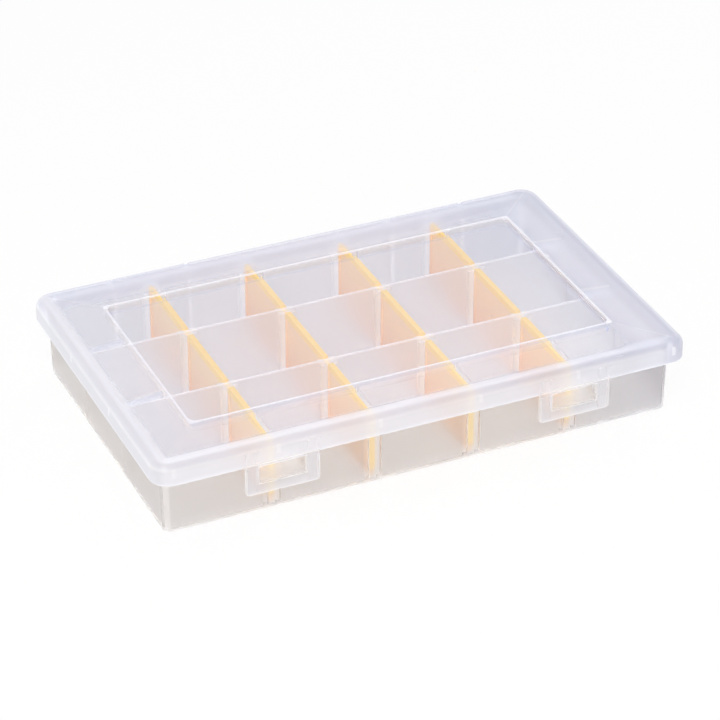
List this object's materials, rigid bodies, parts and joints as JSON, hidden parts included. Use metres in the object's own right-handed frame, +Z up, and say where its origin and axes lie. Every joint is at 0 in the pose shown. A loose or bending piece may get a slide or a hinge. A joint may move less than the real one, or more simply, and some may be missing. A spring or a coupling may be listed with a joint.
{
  "type": "compartment storage box",
  "caption": "Flat hinged storage box of translucent plastic for small parts, with fixed long partitions, lift-out cross dividers and two windowed front latches.",
  "frame": {"origin": "centre of the tray's flat foot, on the surface the box stands on", "axes": "+X along the length, to the right as seen from the latches; +Y towards the hinges; +Z up"},
  "size_m": [0.273, 0.1739, 0.0432],
  "materials": {
    "tray_pp": "translucent moulded polypropylene, satin, faintly warm",
    "lid_pp": "translucent moulded polypropylene, semi-gloss, milky with a cool tint",
    "latch_pp": "translucent moulded polypropylene, semi-gloss, as the lid",
    "divider_pp": "translucent moulded polypropylene tinted yellow-orange, satin"
  },
  "bodies": {
    "tray": {"tray": "tray_pp"},
    "lid": {"lid": "lid_pp"},
    "latch_left": {"latch_left": "latch_pp"},
    "latch_right": {"latch_right": "latch_pp"},
    "divider_front_1": {"divider_front_1": "divider_pp"},
    "divider_front_2": {"divider_front_2": "divider_pp"},
    "divider_front_3": {"divider_front_3": "divider_pp"},
    "divider_front_4": {"divider_front_4": "divider_pp"},
    "divider_middle_1": {"divider_middle_1": "divider_pp"},
    "divider_middle_2": {"divider_middle_2": "divider_pp"},
    "divider_middle_3": {"divider_middle_3": "divider_pp"},
    "divider_middle_4": {"divider_middle_4": "divider_pp"},
    "divider_back_1": {"divider_back_1": "divider_pp"},
    "divider_back_2": {"divider_back_2": "divider_pp"},
    "divider_back_3": {"divider_back_3": "divider_pp"},
    "divider_back_4": {"divider_back_4": "divider_pp"}
  },
  "joints": [
    {"name": "lid_hinge", "type": "hinge", "parent": "tray", "child": "lid", "pos_m": [0, 0.08379, 0.0328], "axis": [-1, 0, 0], "range_deg": [0, 180]},
    {"name": "latch_left_film", "type": "hinge", "parent": "lid", "child": "latch_left", "pos_m": [-0.07485, -0.08699, 0.0318], "axis": [-1, 0, 0], "range_deg": [0, 105]},
    {"name": "latch_right_film", "type": "hinge", "parent": "lid", "child": "latch_right", "pos_m": [0.07485, -0.08699, 0.0318], "axis": [-1, 0, 0], "range_deg": [0, 105]},
    {"name": "divider_front_1_lift", "type": "slide", "parent": "tray", "child": "divider_front_1", "axis": [0, 0, 1], "range_m": [0, 0.0005]},
    {"name": "divider_front_2_lift", "type": "slide", "parent": "tray", "child": "divider_front_2", "axis": [0, 0, 1], "range_m": [0, 0.0005]},
    {"name": "divider_front_3_lift", "type": "slide", "parent": "tray", "child": "divider_front_3", "axis": [0, 0, 1], "range_m": [0, 0.0005]},
    {"name": "divider_front_4_lift", "type": "slide", "parent": "tray", "child": "divider_front_4", "axis": [0, 0, 1], "range_m": [0, 0.0005]},
    {"name": "divider_middle_1_lift", "type": "slide", "parent": "tray", "child": "divider_middle_1", "axis": [0, 0, 1], "range_m": [0, 0.0005]},
    {"name": "divider_middle_2_lift", "type": "slide", "parent": "tray", "child": "divider_middle_2", "axis": [0, 0, 1], "range_m": [0, 0.0005]},
    {"name": "divider_middle_3_lift", "type": "slide", "parent": "tray", "child": "divider_middle_3", "axis": [0, 0, 1], "range_m": [0, 0.0005]},
    {"name": "divider_middle_4_lift", "type": "slide", "parent": "tray", "child": "divider_middle_4", "axis": [0, 0, 1], "range_m": [0, 0.0005]},
    {"name": "divider_back_1_lift", "type": "slide", "parent": "tray", "child": "divider_back_1", "axis": [0, 0, 1], "range_m": [0, 0.0005]},
    {"name": "divider_back_2_lift", "type": "slide", "parent": "tray", "child": "divider_back_2", "axis": [0, 0, 1], "range_m": [0, 0.0005]},
    {"name": "divider_back_3_lift", "type": "slide", "parent": "tray", "child": "divider_back_3", "axis": [0, 0, 1], "range_m": [0, 0.0005]},
    {"name": "divider_back_4_lift", "type": "slide", "parent": "tray", "child": "divider_back_4", "axis": [0, 0, 1], "range_m": [0, 0.0005]}
  ]
}
